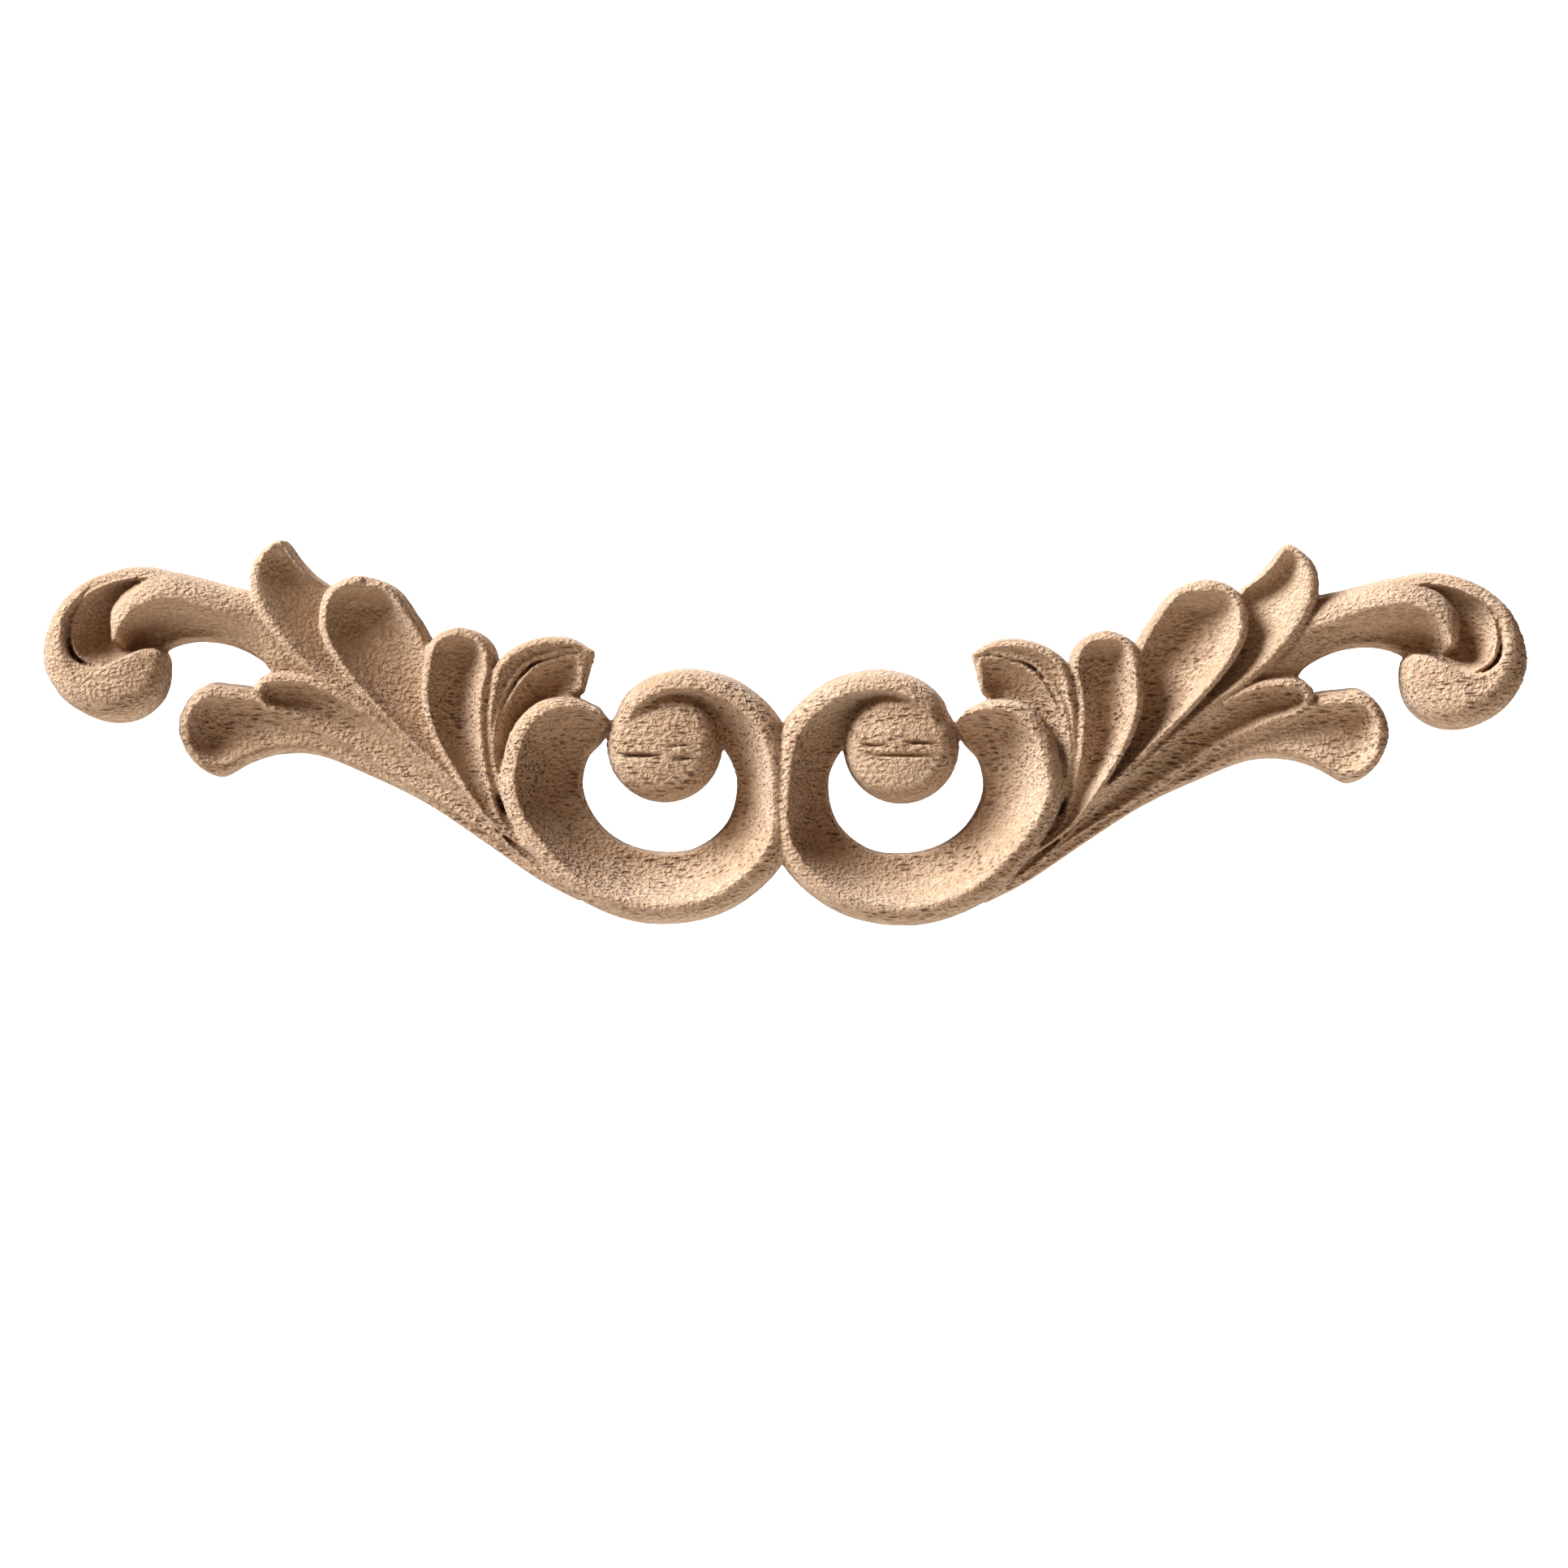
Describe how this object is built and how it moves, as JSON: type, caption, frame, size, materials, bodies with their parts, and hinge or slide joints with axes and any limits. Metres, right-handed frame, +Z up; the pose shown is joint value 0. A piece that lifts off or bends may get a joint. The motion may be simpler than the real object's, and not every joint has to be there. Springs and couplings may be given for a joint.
{
  "type": "carved corner applique",
  "caption": "Carved wood applique: scrolls side by side with leafy wings and curled arms, fixed by its flat back as relief decoration on furniture or a door.",
  "frame": {"origin": "on the flat back face, in the wood that joins the two scrolls", "axes": "+X along the applique's length to the viewer's right as it faces the viewer, +Y into the surface it is fixed to, +Z up, so the carving faces -Y"},
  "size_m": [0.2, 0.0093, 0.0517],
  "materials": {
    "raw_wood": "raw unpainted hardwood, unsanded, with open pores and short fuzz"
  },
  "bodies": {
    "root": {"carved_applique": "raw_wood"}
  },
  "joints": []
}
